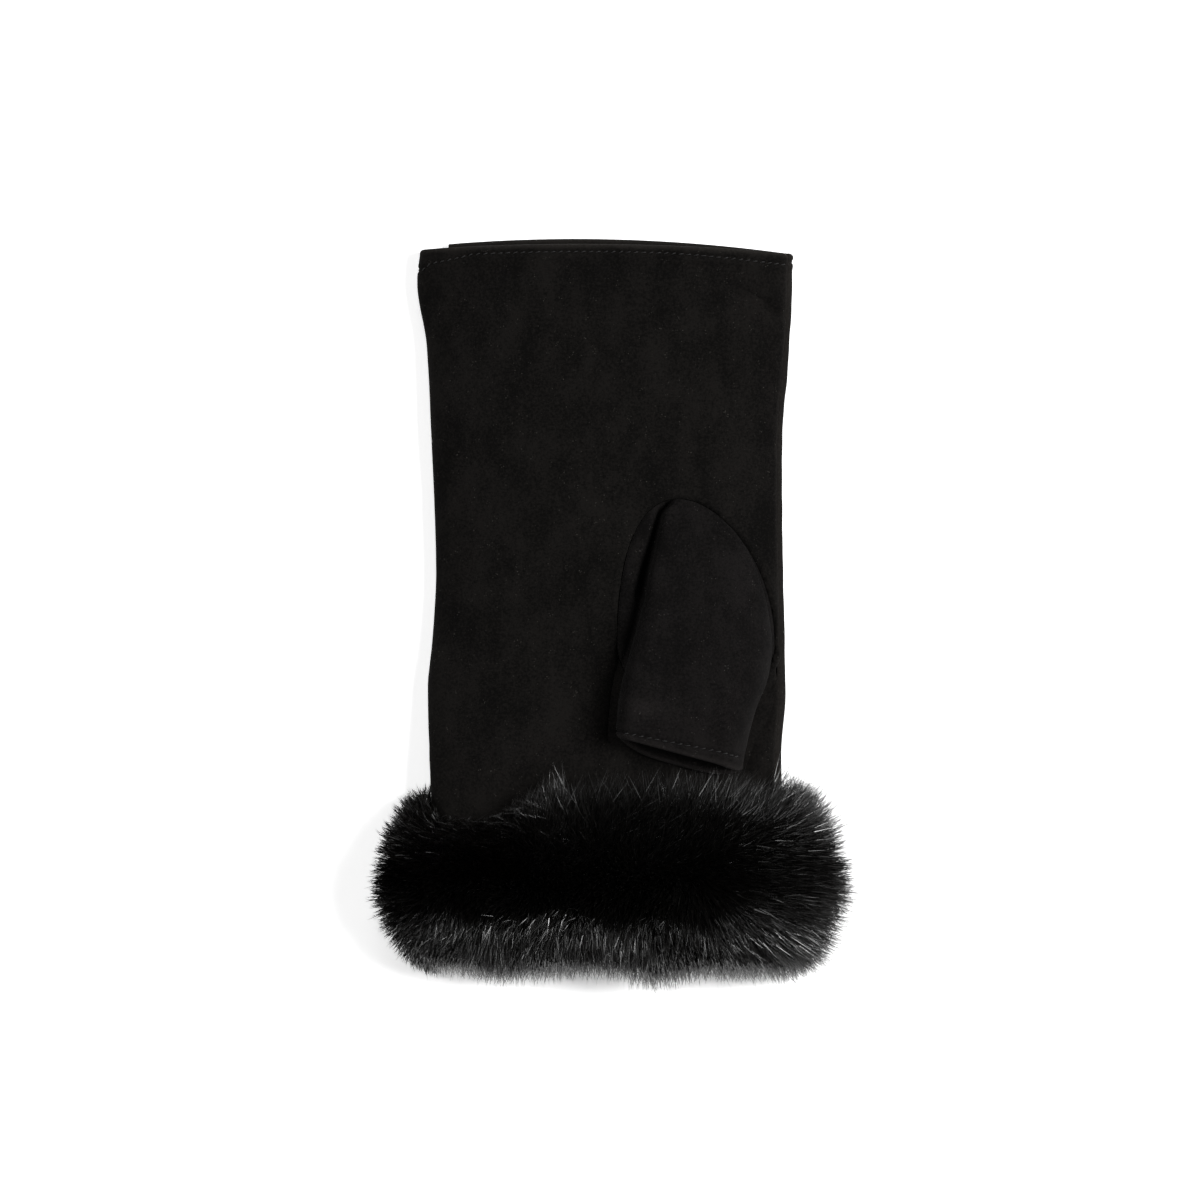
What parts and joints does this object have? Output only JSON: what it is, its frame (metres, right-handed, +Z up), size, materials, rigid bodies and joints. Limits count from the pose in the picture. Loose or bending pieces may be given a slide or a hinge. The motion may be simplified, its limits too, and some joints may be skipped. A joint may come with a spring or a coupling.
{
  "type": "fingerless mitten",
  "caption": "Fingerless suede mitten lying flat, with an open thumb sleeve, a plain stitched hem at one end and a deep fur cuff round the other.",
  "frame": {"origin": "on the flat underside of the back panel, midway across the hand, beside the thumb's root", "axes": "+Y from the fur cuff to the plain hem, +X towards the thumb's side, +Z up from the surface it lies on"},
  "size_m": [0.129, 0.2054, 0.0325],
  "materials": {
    "suede": "black suede with a soft matt nap",
    "fur": "deep black synthetic fur with a silky sheen"
  },
  "bodies": {
    "root": {"palm_panel": "suede", "back_panel": "suede", "thumb": "suede", "fur_cuff": "fur"}
  },
  "joints": []
}
